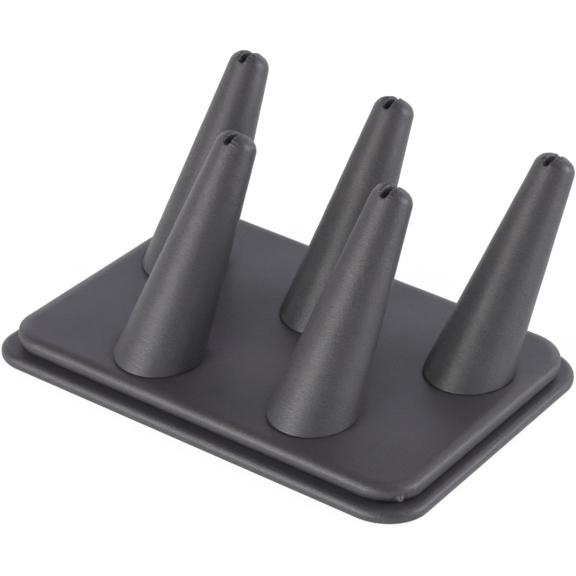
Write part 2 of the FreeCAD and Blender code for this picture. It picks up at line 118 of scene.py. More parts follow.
class ClothSizes(bpy.types.PropertyGroup):
    thickness: length("Thickness", "How thick the leather cloth is", 0.45)
    shade: colour("Shade", "Colour of the cloth's dips", 0.026, 0.025, 0.028)
    raised_shade: colour("Raised shade", "Colour where the grain stands up", 0.064, 0.062, 0.068)
    roughness: share("Roughness", "How matt the cloth is", 0.44)
    gloss: share("Gloss", "How strongly the cloth's finish mirrors light", 0.5)
    glaze: share("Glaze", "How much thin clear finish lies on the cloth", 0.14)
    glaze_roughness: share("Glaze roughness", "How matt that clear finish is", 0.34)
    grain_size: length("Grain size", "Width of one grain of the cloth", 0.40)
    grain_depth: length("Grain depth", "How deep the grain is", 0.055)
    line_size: length("Line size", "Spacing of the fine cross lines", 0.32)
    line_depth: length("Line depth", "How deep the fine cross lines are", 0.042)


class LowerTierSizes(bpy.types.PropertyGroup):
    corner: length("Corner", "Corner radius in plan", 13.2)
    left_corner: length("Front left corner", "Radius of the front left corner", 11.0)
    right_corner: length("Front right corner", "Radius of the front right corner", 14.0)
    wider: length("Wider", "How far the right side stands out beyond the plain solid", 0.2)
    top_in: length("Top rounding, across", "Width of the rounding of the top edge", 2.2)
    top_drop: length("Top rounding, down", "Height of the rounding of the top edge", 2.0)
    back_drop: length("Top rounding, down, behind", "The same at the back and the left", 1.7)
    square: FloatProperty(name="Squareness", description="2 rounds the front's top edge evenly",
                          default=2.0, min=2.0, max=8.0)
    long_foot: length("Foot on the long sides", "How much larger the foot's rounding is", 0.0)
    foot_in: length("Foot rounding, across", "Width of the rounding of the bottom edge", 0.7)
    foot_rise: length("Foot rounding, up", "Height of the rounding of the bottom edge", 0.6)
    pinch: length("Corner pinch", "How much more the cloth is drawn in below at a corner", 0.2)
    hem: length("Hem", "Cloth turned in below", 10.0)
    pleat: length("Pleat", "Spacing of the small gathers at the corners", 0.9)
    pleat_depth: length("Pleat depth", "How deep the small gathers are", 0.12)


class UpperTierSizes(bpy.types.PropertyGroup):
    corner: length("Corner", "Corner radius in plan", 13.5)
    left_corner: length("Front left corner", "Radius of the front left corner", 12.2)
    right_corner: length("Front right corner", "Radius of the front right corner", 12.8)
    top_in: length("Top rounding, across", "Width of the rounding of the padded edge", 4.0)
    top_drop: length("Top rounding, down", "Height of the rounding of the padded edge", 2.65)
    back_drop: length("Top rounding, down, behind", "The same at the back and the left", 1.45)
    square: FloatProperty(name="Squareness", description="2 rounds the front's top edge evenly",
                          default=2.3, min=2.0, max=8.0)
    deeper: length("Deeper", "How far the long sides stand out beyond the plain solid", 1.4)
    long_foot: length("Foot on the long sides", "How much larger the foot's rounding is", 1.5)
    foot_in: length("Foot rounding, across", "Width of the rounding of the bottom edge", 2.7)
    foot_rise: length("Foot rounding, up", "Height of the rounding of the bottom edge", 1.7)
    pinch: length("Corner pinch", "How much more the cloth is drawn in below at a corner", 0.4)
    hem: length("Hem", "Cloth turned in below", 9.0)
    foot_dip: length("Foot dip", "How far the pad gives way round a finger's foot", 0.28)
    dip_reach: length("Dip reach", "How far that dip spreads from the foot", 1.2)
    pleat: length("Pleat", "Spacing of the small gathers at the corners", 0.85)
    pleat_depth: length("Pleat depth", "How deep the small gathers are", 0.16)
    tuft: length("Tuft", "How far a pinch of cloth stands out at the front right corner", 1.2)
    tuft_turn: angle("Tuft bearing", "Where on that corner the pinch is, from the right", -35.5)


class FingerSizes(bpy.types.PropertyGroup):
    foot: length("Foot", "Diameter where the axis meets the pad", 25.2)
    tip: length("Tip", "Diameter that the sides would reach at the tip", 11.6)
    reach: length("Length", "From the pad to the tip along the axis", 67.0)
    lean: angle("Lean", "How far a finger leans back", 31.1)
    shoulder: length("Shoulder", "Radius where the side turns into the tip", 4.2)
    crown: length("Crown", "Radius of the tip's crown", 9.0)
    slot_mouth: length("Slot mouth", "Width of the slot at its wide front end", 2.6)
    slot_back: length("Slot at the back", "Width of the slot at its back end", 1.2)
    slot_depth: length("Slot depth", "Depth of the slot below the tip", 4.6)
    pocket: length("Pocket", "How far the cloth is tucked in at the slot's front end", 0.4)
    slot_lip: length("Slot lip", "Rounding of the cloth along the slot", 0.75)
    pucker: length("Pucker", "Depth of the small puckers along the slot", 0.17)
    foot_turn: length("Foot turn", "Rounding where the cloth turns in under the foot", 0.42)
    foot_hem: length("Foot hem", "Cloth turned in under the foot", 3.2)
    seam: length("Seam", "Depth of the seam down the back", 0.16)


class InsideShades(bpy.types.PropertyGroup):
    board: colour("Fibreboard", "Colour of the boards", 0.42, 0.29, 0.18)
    wood: colour("Turned wood", "Colour of the finger cores", 0.68, 0.50, 0.31)
    foam: colour("Foam", "Colour of the foam pad", 0.75, 0.73, 0.66)
    felt: colour("Felt", "Colour of the felt below the base", 0.02, 0.02, 0.022)
    steel: colour("Steel", "Colour of the screws", 0.6, 0.6, 0.58)


class StageSizes(bpy.types.PropertyGroup):
    bearing: angle("Bearing", "Which way round the stand the camera is", 31.474219)
    height: angle("Height", "How high the camera is", 30.367027)
    roll: angle("Roll", "How far the camera is rolled", 4.509193)
    distance: length("Distance", "From the middle of the base to the camera", 817.9315)
    aim_right: length("Aim right", "How far right of the base's middle the camera looks", -0.56)
    aim_up: length("Aim up", "How far above the base's middle the camera looks", 23.15)
    lens: length("Lens", "Focal length of the camera", 173.1272)
    lamp_level: FloatProperty(name="Lamp level", description="Power of a full lamp at one metre",
                              default=10.0, min=0.0, unit="POWER")
    lamp_width: length("Lamp width", "Width of each square lamp", 500.0)
    surround: share("Surround", "How much soft light the room gives", 0.10)
    wall_top: angle("Wall top", "How high the pale wall reaches before it dims", 10.0)
    ceiling: share("Ceiling", "Brightness of the ceiling in reflections", 0.05)
    floor: colour("Floor", "Colour of the floor", 0.9, 0.9, 0.9)


# Helpers for meshes


def new_object(name, data):
    """An object in the scene."""
    made = bpy.data.objects.new(name, data)
    bpy.context.scene.collection.objects.link(made)
    return made


def smooth_step(low, high, x):
    """0 below low, 1 above high and a soft rise between."""
    x = np.clip((x - low) / (high - low), 0.0, 1.0)
    return x * x * (3.0 - 2.0 * x)


RIPPLE_PEAK = 1.4    # divides a ripple's height, to keep it between about -1 and 1


def ripple(seed, x, y, size, waves=7):
    """A soft uneven surface between about -1 and 1, whose bumps are about size wide."""
    random = np.random.default_rng(seed)
    total = np.zeros(np.broadcast(x, y).shape)
    for _ in range(waves):
        bearing = random.uniform(0.0, math.tau)
        pace = math.tau / size * random.uniform(0.6, 1.5)
        phase = random.uniform(0.0, math.tau)
        total += np.sin(pace * (x * math.cos(bearing) + y * math.sin(bearing)) + phase)
    return total / math.sqrt(waves) / RIPPLE_PEAK


def grid_faces(rows, columns, closed=False, start=0):
    """Four-sided faces between rows of points, round and round if the rows are closed."""
    last = columns if closed else columns - 1
    row, column = np.meshgrid(np.arange(rows - 1), np.arange(last), indexing="ij")
    after = (column + 1) % columns
    corners = [row * columns + column, row * columns + after,
               (row + 1) * columns + after, (row + 1) * columns + column]
    return start + np.stack(corners, axis=-1).reshape(-1, 4)


def edge_loop(rows, columns):
    """The points round the rim of a grid, in order, starting at its first corner."""
    index = np.arange(rows * columns).reshape(rows, columns)
    return np.concatenate([index[0, :-1], index[:-1, -1], index[-1, :0:-1], index[:0:-1, 0]])


def skirted_faces(rows, columns, loop, rings):
    """The faces of a grid, and of the rings of points that hang from its rim."""
    count = rows * columns
    number = np.arange(len(loop)) + count
    first = np.stack([loop, np.roll(loop, -1), np.roll(number, -1), number], axis=-1)
    hanging = grid_faces(rings, len(loop), closed=True, start=count)
    return np.concatenate([grid_faces(rows, columns), first[:, ::-1], hanging[:, ::-1]])


def point_normals(points, faces):
    """The unit normal at each point."""
    corner = points[faces]
    across = np.cross(corner[:, 2] - corner[:, 0], corner[:, 3] - corner[:, 1])
    total = np.zeros_like(points)
    for side in range(4):
        np.add.at(total, faces[:, side], across)
    return total / np.maximum(np.linalg.norm(total, axis=1, keepdims=True), 1e-12)


def wrapped_corners(values, faces, circuit):
    """A value at each corner of each face, counted on past the seam where it starts again."""
    at = values[faces]
    crosses = np.ptp(at, axis=1) > circuit / 2
    return np.where(crosses[:, None] & (at < circuit / 2), at + circuit, at)


def thick_cloth(points, faces, raised, thickness):
    """Outer and inner side of a cloth, joined along its open edge.

    The inner side lies where the cloth would lie with nothing raised.
    """
    count = len(points)
    normals = point_normals(points, faces)
    outer = points + normals * raised[:, None]
    inner = points - normals * thickness
    sides = np.concatenate([faces[:, [0, 1]], faces[:, [1, 2]], faces[:, [2, 3]],
                            faces[:, [3, 0]]])
    known = {(int(a), int(b)) for a, b in sides}
    rim = np.array([(b, a, a + count, b + count) for a, b in known if (b, a) not in known])
    all_faces = np.concatenate([faces, faces[:, ::-1] + count, rim.reshape(-1, 4)])
    return np.concatenate([outer, inner]), all_faces


def cloth_piece(name, points, faces, lie, bend, raised, circuit, thickness):
    """A piece of leather cloth as an object.

    lie is the place across and along the fine lines of the cloth, and bend is how far the
    cloth is pulled round something at each point.
    """
    solid, quads = thick_cloth(points, faces, raised, thickness)
    mesh = bpy.data.meshes.new(name)
    mesh.from_pydata(solid.tolist(), [], quads.tolist())
    lie, bend = np.concatenate([lie, lie]), np.concatenate([bend, bend])
    across = wrapped_corners(lie[:, 0], quads, circuit[0]) if circuit[0] else lie[:, 0][quads]
    along = wrapped_corners(lie[:, 1], quads, circuit[1]) if circuit[1] else lie[:, 1][quads]
    layer = mesh.uv_layers.new(name="lie")
    layer.uv.foreach_set("vector", np.stack([across, along], axis=-1).astype(np.float32).ravel())
    mark = mesh.attributes.new("bend", "FLOAT", "POINT")
    mark.data.foreach_set("value", bend.astype(np.float32))
    mesh.polygons.foreach_set("use_smooth", np.ones(len(quads), dtype=bool))
    mesh.validate()
    return new_object(name, mesh)


# Wrapped tiers


def knots(half, radius, corner_steps, straight_steps, fine, fine_steps):
    """Places from end to end of a rounded rectangle, closer together in its corners.

    fine is a length before the far corner where they are close together as well.
    """
    corner = np.linspace(0.0, radius, corner_steps + 1)[:-1]
    straight = np.linspace(radius - half, half - radius - fine, straight_steps + 1)
    close = np.linspace(half - radius - fine, half - radius, fine_steps + 1)[1:]
    return np.concatenate([corner - half, straight, close, half - corner[::-1]])


def corner_radius(x, y, sizes):
    """The radius, inside the top's rounding, of the corner in whose quarter each place is."""
    in_front = np.where(x < 0.0, sizes.left_corner, sizes.right_corner)
    return np.where(y < 0.0, in_front, sizes.corner) - sizes.top_in


def over_corner(place, half, radius):
    """How far into a corner each place is: 0 where the corner starts and 1 at its end."""
    return np.clip((np.abs(place) - (half - radius)) / radius, 0.0, 1.0)


def round_corners(x, y, half_x, half_y, radius):
    """Move a grid over a rectangle so that its corners become round."""
    over_x = over_corner(x, half_x, radius)
    over_y = over_corner(y, half_y, radius)
    new_x = over_x * np.sqrt(1.0 - over_y ** 2 / 2.0)
    new_y = over_y * np.sqrt(1.0 - over_x ** 2 / 2.0)
    x = np.where(over_x > 0.0, np.sign(x) * (half_x - radius + radius * new_x), x)
    y = np.where(over_y > 0.0, np.sign(y) * (half_y - radius + radius * new_y), y)
    return x, y


LEAST_STRAIGHT = 0.15 * MM    # upright cloth kept between the two roundings of an edge
QUARTER_POINTS = 17           # points of an edge's rounding
STRAIGHT_STEPS = (0.35, 0.7)    # places of the rows between the two roundings
HEM_STEPS = (0.3, 0.65, 1.0)    # places of the rows across the hem


def edge_profile(height, sizes, pinch, drop, square):
    """The cloth's way over the edge: how far out of the flat top and how far below it.

    Both have a row for each step of the way and a column for each place along the edge, as
    have pinch, which enlarges the foot's rounding, and drop and square, the height and the
    squareness of the top's.
    """
    quarter = np.linspace(0.0, math.pi / 2.0, QUARTER_POINTS)
    foot_in = sizes.foot_in + pinch
    foot_rise = np.minimum(sizes.foot_rise + pinch, height - drop - LEAST_STRAIGHT)
    power = 2.0 / square
    out = [sizes.top_in * math.sin(turn) ** power for turn in quarter[1:]]
    down = [drop * (1.0 - max(math.cos(turn), 0.0) ** power) for turn in quarter[1:]]
    straight = height - drop - foot_rise
    for step in STRAIGHT_STEPS:
        out.append(sizes.top_in + 0.0 * pinch)
        down.append(drop + step * straight)
    for turn in quarter:
        out.append(sizes.top_in - foot_in * (1.0 - math.cos(turn)))
        down.append(height - foot_rise * (1.0 - math.sin(turn)))
    for step in HEM_STEPS:
        out.append(sizes.top_in - foot_in - step * (sizes.hem - foot_in))
        down.append(height + 0.0 * pinch)
    return np.array(out), np.array(down)


def grown_box(box, wider, deeper):
    """A box with its right side moved outwards, and its front and back."""
    return box[0] - Vector((0.0, deeper, 0.0)), box[1] + Vector((wider, deeper, 0.0))


CORNER_STEPS = 36    # columns, and rows, of a tier's top across one corner
# The steps along the plain part of a tier's top, the stretch before the far corner where they
# are closer, for the gathers there, and the steps in that stretch.
LONG_EDGE = (56, 14.0 * MM, 46)
SHORT_EDGE = (44, 4.0 * MM, 8)
TALL_SIDE = np.array([0.6, -0.8])    # the way that the tallest part of the top rounding faces
TURNING = 0.6                        # how soon the rounding becomes low, away from that way
CORNER_GAIN = 2.2                    # makes the pull reach 1 in the middle of a corner


def wrapped_tier(box, sizes):
    """The outside of a cloth wrapped over a board, as it lies with nothing raised.

    Returns the points, the faces, how far each point is along the edge, how far down the way
    over the edge, and the length of the whole edge.
    """
    low, high = box
    half_x = (high.x - low.x) / 2 - sizes.top_in
    half_y = (high.y - low.y) / 2 - sizes.top_in
    radius = sizes.corner - sizes.top_in
    x = knots(half_x, radius, CORNER_STEPS, *LONG_EDGE)
    y = knots(half_y, radius, CORNER_STEPS, *SHORT_EDGE)
    grid_x, grid_y = np.meshgrid(x, y, indexing="xy")
    own_radius = corner_radius(grid_x, grid_y, sizes)
    grid_x, grid_y = round_corners(grid_x, grid_y, half_x, half_y, own_radius)
    rows, columns = grid_x.shape
    top = np.stack([grid_x, grid_y, np.full_like(grid_x, high.z)], axis=-1).reshape(-1, 3)
    loop = edge_loop(rows, columns)
    rim = top[loop]
    rim_radius = own_radius.ravel()[loop]
    inner_x = np.clip(rim[:, 0], rim_radius - half_x, half_x - rim_radius)
    inner_y = np.clip(rim[:, 1], rim_radius - half_y, half_y - rim_radius)
    outward = np.stack([rim[:, 0] - inner_x, rim[:, 1] - inner_y], axis=-1)
    outward /= np.linalg.norm(outward, axis=1, keepdims=True)
    bent = np.clip(CORNER_GAIN * np.abs(outward[:, 0] * outward[:, 1]), 0.0, 1.0)
    facing = smooth_step(-TURNING, TURNING, outward @ TALL_SIDE)
    drop = sizes.back_drop + facing * (sizes.top_drop - sizes.back_drop)
    to_front = np.clip(-outward[:, 1], 0.0, 1.0) ** 2
    square = 2.0 + (sizes.square - 2.0) * to_front
    larger = sizes.pinch * bent + sizes.long_foot * outward[:, 1] ** 2
    out, down = edge_profile(high.z - low.z, sizes, larger, drop, square)
    side = np.zeros((len(out), len(loop), 3))
    side[:, :, :2] = rim[None, :, :2] + out[:, :, None] * outward[None]
    side[:, :, 2] = high.z - down
    step = np.linalg.norm(np.diff(side[len(out) // 2], axis=0), axis=1)
    around = np.concatenate([[0.0], np.cumsum(step)])
    circuit = around[-1] + np.linalg.norm(side[len(out) // 2, -1] - side[len(out) // 2, 0])
    over = np.cumsum(np.hypot(np.diff(out[:, 0], prepend=0.0), np.diff(down[:, 0], prepend=0.0)))
    points = np.concatenate([top, side.reshape(-1, 3)])
    points[:, 0] += (low.x + high.x) / 2
    points[:, 1] += (low.y + high.y) / 2
    faces = skirted_faces(rows, columns, loop, len(out))
    along = np.concatenate([np.zeros(len(top)), np.tile(around, len(out))])
    along[loop] = around
    reach = np.concatenate([np.zeros(len(top)), np.repeat(over, len(loop))])
    return points, faces, along, reach, circuit


GATHERS_START = 30.0 * MM    # from the right end of the front edge, where its gathers start
GATHERS_FULL = 14.0 * MM     # and where they are full
CORNER_SHARE = 0.8           # how strong the gathers are at a corner
FRONT_SHARE = 0.85           # and before the front right corner
# Where the gathers fade out below, along the cloth, beyond the tier's height.
HEM_FADE = (4.0 * MM, 6.0 * MM)


def gathers(points, box, sizes, seed, along, reach):
    """Small gathers of the cloth on the edge: at every corner, and before the front right one."""
    low, high = box
    x, y = points[:, 0], points[:, 1]
    pull = corner_pull(points, high.x, high.y, sizes.corner)
    in_stretch = smooth_step(high.x - GATHERS_START, high.x - GATHERS_FULL, x)
    near = np.where(y < low.y + sizes.corner, in_stretch, 0.0)
    pull = np.maximum(CORNER_SHARE * pull, FRONT_SHARE * near * (x > 0.0))
    edge = sizes.top_in + 0.3 * sizes.top_drop
    low_down = smooth_step(0.35 * edge, 1.1 * edge, reach)
    height = high.z - low.z
    low_down = low_down * (1.0 - smooth_step(height + HEM_FADE[0], height + HEM_FADE[1], reach))
    return pull * low_down * pleats(seed, along, sizes.pleat) * sizes.pleat_depth


PULL_GAIN = 3.4    # makes the pull reach 1 well inside a corner


def corner_pull(points, half_x, half_y, radius):
    """1 in the middle of each rounded corner, falling to 0 where the straight edges start."""
    over_x = over_corner(points[:, 0], half_x, radius)
    over_y = over_corner(points[:, 1], half_y, radius)
    return np.clip(PULL_GAIN * over_x * over_y, 0.0, 1.0)


def pleats(seed, along, pitch):
    """Small uneven gathers side by side along an edge."""
    wander = ripple(seed, along, np.zeros_like(along), 6.0 * pitch) * 0.4 * pitch
    uneven = 0.75 + 0.35 * ripple(seed + 1, along, np.zeros_like(along), 3.0 * pitch)
    return (np.abs(np.sin(math.pi * (along + wander) / pitch)) ** 0.7 - 0.5) * uneven


TUFT_HEIGHT = 2.2 * MM      # from the tier's foot up to the pinch
TUFT_WIDTH = 0.75 * MM      # how far the pinch spreads to each side
TUFT_RISE = 0.8 * MM        # and up and down
FOLD_WIDTH = 0.33 * MM      # half the spacing of its folds
FOLD_SHARE = 0.35           # how deep they are, for a pinch of 1
GAP_PLACE = 1.5 * MM        # from the pinch to the middle of the gap on each side
GAP_WIDTH = 0.35 * MM
GAP_RISE = 1.0 * MM
GAP_DROP = 0.2 * MM         # how far the gaps are below the pinch
GAP_DEPTH = 0.22 * MM
TUFT_REACH = 4.0 * MM       # beyond this the corner isn't touched


def tuft(points, box, sizes):
    """A pinch of cloth left standing low on the front right corner, between two small gaps."""
    low, high = box
    outward = np.array([math.cos(sizes.tuft_turn), math.sin(sizes.tuft_turn), 0.0])
    across = np.array([-outward[1], outward[0], 0.0])
    middle = np.array([high.x - sizes.corner, low.y + sizes.corner, low.z + TUFT_HEIGHT])
    away = points - middle - sizes.corner * outward
    side = away @ across
    up = away[:, 2]
    near = np.abs(away @ outward) < TUFT_REACH
    pinch = np.exp(-(side / TUFT_WIDTH) ** 2 - (up / TUFT_RISE) ** 2)
    fold = 1.0 + FOLD_SHARE * np.cos(side / FOLD_WIDTH * math.pi)
    beside = (np.abs(side) - GAP_PLACE) / GAP_WIDTH
    gaps = np.exp(-beside ** 2 - ((up + GAP_DROP) / GAP_RISE) ** 2)
    return np.where(near, sizes.tuft * pinch * fold - GAP_DEPTH * gaps, 0.0)


# Fingers


class Finger:
    """The outline of a finger about its own axis, and where the finger stands."""

    def __init__(self, sizes, x, y, turn, lobes, floor):
        self.sizes = sizes
        self.lobes = [rise * MM for rise in lobes]
        self.slope = (sizes.foot - sizes.tip) / 2.0 / sizes.reach
        self.taper = math.atan(self.slope)
        self.base = np.array([x * MM, y * MM, floor])
        lean = sizes.lean
        spin = np.array(Matrix.Rotation(math.radians(turn), 3, "Z"))
        self.axes = spin @ np.array([[1.0, 0.0, 0.0],
                                     [0.0, math.cos(lean), math.sin(lean)],
                                     [0.0, -math.sin(lean), math.cos(lean)]])
        self.find_tip()

    def find_tip(self):
        """Where the crown hands over to the shoulder, and the shoulder to the side."""
        sizes = self.sizes
        gap = sizes.crown - sizes.shoulder
        self.crown_z = sizes.reach - sizes.crown
        inset = sizes.foot / 2.0 - sizes.shoulder * math.hypot(1.0, self.slope)
        low, high = self.crown_z, sizes.reach
        for _ in range(60):
            middle = (low + high) / 2.0
            out = inset - self.slope * middle
            if math.hypot(out, middle - self.crown_z) < gap:
                low = middle
            else:
                high = middle
        self.shoulder_z = middle
        self.shoulder_r = inset - self.slope * middle
        self.crown_turn = math.atan2(self.shoulder_r, self.shoulder_z - self.crown_z)
        self.crown_way = sizes.crown * self.crown_turn
        self.side_turn = math.pi / 2.0 - self.taper
        self.side_way = self.crown_way + sizes.shoulder * (self.side_turn - self.crown_turn)
        self.side_r = self.shoulder_r + sizes.shoulder * math.cos(self.taper)
        self.side_z = self.shoulder_z + sizes.shoulder * math.sin(self.taper)

    def outline(self, way):
        """Radius, height and steepness of the outline, at a way down from the tip."""
        sizes = self.sizes
        turn = np.where(way < self.crown_way, way / sizes.crown,
                        self.crown_turn + (way - self.crown_way) / sizes.shoulder)
        turn = np.minimum(turn, self.side_turn)
        past = np.maximum(way - self.side_way, 0.0)
        on_crown = way < self.crown_way
        centre_r = np.where(on_crown, 0.0, self.shoulder_r)
        centre_z = np.where(on_crown, self.crown_z, self.shoulder_z)
        radius = np.where(on_crown, sizes.crown, sizes.shoulder)
        out = centre_r + radius * np.sin(turn) + past * math.sin(self.taper)
        up = centre_z + radius * np.cos(turn) - past * math.cos(self.taper)
        return out, up, turn

    def foot_way(self, bearing):
        """The way down from the tip at which the outline meets the pad, at each bearing."""
        lean = self.sizes.lean
        rise = np.sin(bearing) * math.sin(lean)
        level = self.side_z * math.cos(lean) - self.side_r * rise
        pace = math.cos(self.taper) * math.cos(lean) + math.sin(self.taper) * rise
        return self.side_way + level / pace

    def place(self, own):
        """Points of the finger's own frame, put where they stand."""
        return own @ self.axes.T + self.base

    def clearance(self, points):
        """How far points lie outside the finger's side."""
        own = (points - self.base) @ self.axes
        return (np.hypot(own[:, 0], own[:, 1]) - self.sizes.foot / 2.0
                + self.slope * own[:, 2]) * math.cos(self.taper)


LIP_START = (2.2, 1.6)    # lips from the slot's side to the first two places across
LIP_POINTS = 8            # points of the lip's rounding
WALL_STEPS = (0.15, 0.32, 0.5, 0.7, 0.88)    # places of the rows down the slot's wall
BOTTOM_POINTS = 6         # points of the rounding at the slot's bottom


def slot_path(half, lip, depth, corner, tuck):
    """The way across one half of a slot, from the surface outside it to its middle line.

    Returns the place across, the drop square to the surface and the drop along the finger.
    tuck is how much further the wall leans in square to the surface.
    """
    none = np.zeros_like(lip)
    across = [half + start * lip for start in LIP_START]
    inward = [none, none]
    down = [none, none]
    for turn in np.linspace(0.0, math.pi / 2.0, LIP_POINTS):
        across.append(half + lip * (1.0 - math.sin(turn)))
        inward.append(lip * (1.0 - math.cos(turn)))
        down.append(none)
    wall = np.maximum(depth - lip - corner, 0.0)
    for step in WALL_STEPS:
        across.append(half)
        inward.append(lip + step * tuck)
        down.append(step * wall)
    for turn in np.linspace(0.0, math.pi / 2.0, BOTTOM_POINTS):
        across.append(half - corner * (1.0 - math.cos(turn)))
        inward.append(lip + tuck)
        down.append(wall + corner * math.sin(turn))
    for part in (0.5, 0.0):
        across.append((half - corner) * part)
        inward.append(lip + tuck)
        down.append(wall + corner)
    return np.array(across), np.array(inward), np.array(down)


SLOT_STEPS = 22      # columns of a tip's cloth from the slot's middle to beyond its lip
SIDE_STEPS = 12      # columns from there to the rim of the tip
TIP_ROWS = 121       # rows of a tip's cloth
SLOT_SHARE = 0.3     # how much of the tip's breadth the first columns take at its rim
CLOSED_SPREAD = 1.6 * MM    # how far the first columns spread where there is no slot
TIP_SKIRT = 3.0 * MM        # how far a tip's cloth reaches down the plain side
# Along the tip from front to back, and with 0 at its middle: where the slot starts to narrow
# and is narrow, and where it starts to end and has ended.
NARROWING = (-6.6 * MM, 2.6 * MM)
SLOT_END = (6.3 * MM, 7.8 * MM)
LEFT_SHARE = 0.58           # how much of the slot's mouth lies left of the middle
FLOOR_SOFTNESS = 0.07 * MM    # rounding where the slot's floor runs out at the front
POCKET_END = 4.5 * MM         # from the tip's middle, where the cloth's tuck starts to fade


def slot_shape(finger, way):
    """Half widths to the left and right, depth and tuck of the slot, along the tip's middle."""
    sizes = finger.sizes
    back = smooth_step(*NARROWING, way)
    mouth = sizes.slot_mouth * (1.0 - back)
    left = LEFT_SHARE * mouth + 0.5 * sizes.slot_back * back
    right = (1.0 - LEFT_SHARE) * mouth + 0.5 * sizes.slot_back * back
    _, height, _ = finger.outline(np.abs(way))
    room = height - (sizes.reach - sizes.slot_depth)
    end = 1.0 - smooth_step(*SLOT_END, way)
    depth = FLOOR_SOFTNESS * np.logaddexp(0.0, room / FLOOR_SOFTNESS) * end
    open_part = smooth_step(0.0, 0.5 * MM, depth)
    tuck = sizes.pocket * open_part * (1.0 - smooth_step(-POCKET_END, 0.0, way))
    return left * open_part ** 0.4, right * open_part ** 0.4, depth, tuck


PUCKERED_DEPTH = 0.6 * MM    # the slot's least depth for puckers beside it
LOBE_PLACE = 3.4 * MM        # from the slot's middle to the middle of each plump lobe
LOBE_WIDTH = 2.4 * MM        # how far a lobe spreads across the tip
LOBE_LENGTH = 4.6 * MM       # and along it
RIM_EASE = 0.84              # from here to the ends of the slot's line its folds flatten out


def tip_cap(finger):
    """The cloth over a finger's tip, folded down into its slot.

    Returns the points in the finger's own frame, the way down from the tip at each, its
    bearing, how much it is puckered, and the number of rows and columns. The rim is level.
    """
    sizes = finger.sizes
    ring = finger.side_way + TIP_SKIRT
    inner = np.linspace(0.0, SLOT_SHARE, SLOT_STEPS + 1)
    outer = np.linspace(SLOT_SHARE, 1.0, SIDE_STEPS + 1)[1:]
    a = np.concatenate([-outer[::-1], -inner[:0:-1], inner, outer])
    b = np.linspace(-1.0, 1.0, TIP_ROWS)
    grid_a, grid_b = np.meshgrid(a, b, indexing="xy")
    across = ring * grid_a * np.sqrt(1.0 - grid_b ** 2 / 2.0)
    along = ring * grid_b * np.sqrt(1.0 - grid_a ** 2 / 2.0)

    left, right, depth, tuck = slot_shape(finger, ring * b)
    lip = np.minimum(sizes.slot_lip, depth * 0.5)
    corner = np.minimum(np.minimum(0.5 * MM, depth * 0.4), right * 0.7)
    inward_grid = np.zeros_like(across)
    down_grid = np.zeros_like(across)
    pucker = np.zeros_like(across)
    middle = SIDE_STEPS + SLOT_STEPS
    opened = smooth_step(0.0, 0.35 * MM, depth)
    closed_path = CLOSED_SPREAD * np.linspace(1.0, 0.0, SLOT_STEPS + 1)[:, None]
    ease = smooth_step(RIM_EASE, 1.0, np.abs(b))
    puckered = depth > PUCKERED_DEPTH
    span = ring * np.sqrt(1.0 - b ** 2 / 2.0)
    for side, half in ((-1, left), (1, right)):
        path, inward, down = slot_path(half, lip, depth, corner, tuck)
        path = opened * path + (1.0 - opened) * closed_path
        for step in range(SLOT_STEPS + 1):
            column = middle + side * (SLOT_STEPS - step)
            plain = across[:, column]
            across[:, column] = (1.0 - ease) * side * path[step] + ease * plain
            inward_grid[:, column] = inward[step] * (1.0 - ease)
            down_grid[:, column] = down[step] * (1.0 - ease)
            pucker[:, column] = math.exp(-((step - 4.0) / 5.0) ** 2) * puckered
        start = np.abs(across[:, middle + side * SLOT_STEPS])
        for number, value in enumerate(outer):
            fraction = (value - SLOT_SHARE) / (1.0 - SLOT_SHARE)
            column = middle + side * (SLOT_STEPS + 1 + number)
            across[:, column] = side * (start + fraction * (span - start))
            pucker[:, column] = max(0.0, 0.45 - 0.11 * number) * puckered

    way = np.hypot(across, along)
    bearing = np.arctan2(along, across)
    out, up, turn = finger.outline(way)
    out = out - inward_grid * np.sin(turn)
    up = up - inward_grid * np.cos(turn) - down_grid
    points = np.stack([out * np.cos(bearing), out * np.sin(bearing), up], axis=-1)
    for side, rise in zip((-1.0, 1.0), finger.lobes):
        aside = (across - side * LOBE_PLACE) / LOBE_WIDTH
        points[..., 2] += rise * np.exp(-aside ** 2 - (along / LOBE_LENGTH) ** 2)
    rows, columns = across.shape
    return (points.reshape(-1, 3), way.ravel(), bearing.ravel(), pucker.ravel(), rows, columns)


SIDE_RINGS = 34                     # rings of points down a finger's side, counting its top
SIDE_END = 0.97                     # place of the last of them, from 0 at the top to 1 below
LAST_RINGS = [0.985, 0.994, 1.0]    # places of the closer rings above the foot
NICK_SIZE = 2.2 * MM                # spacing of the small nicks in the foot's turn
TURN_POINTS = 7                     # points of the rounding where the foot turns in
SHOWN_FOOT = math.radians(40.0)     # bearing on the finger where the foot's turn is widest
GIRTH = 9.0 * MM                    # a finger's mean radius, for lengths round it


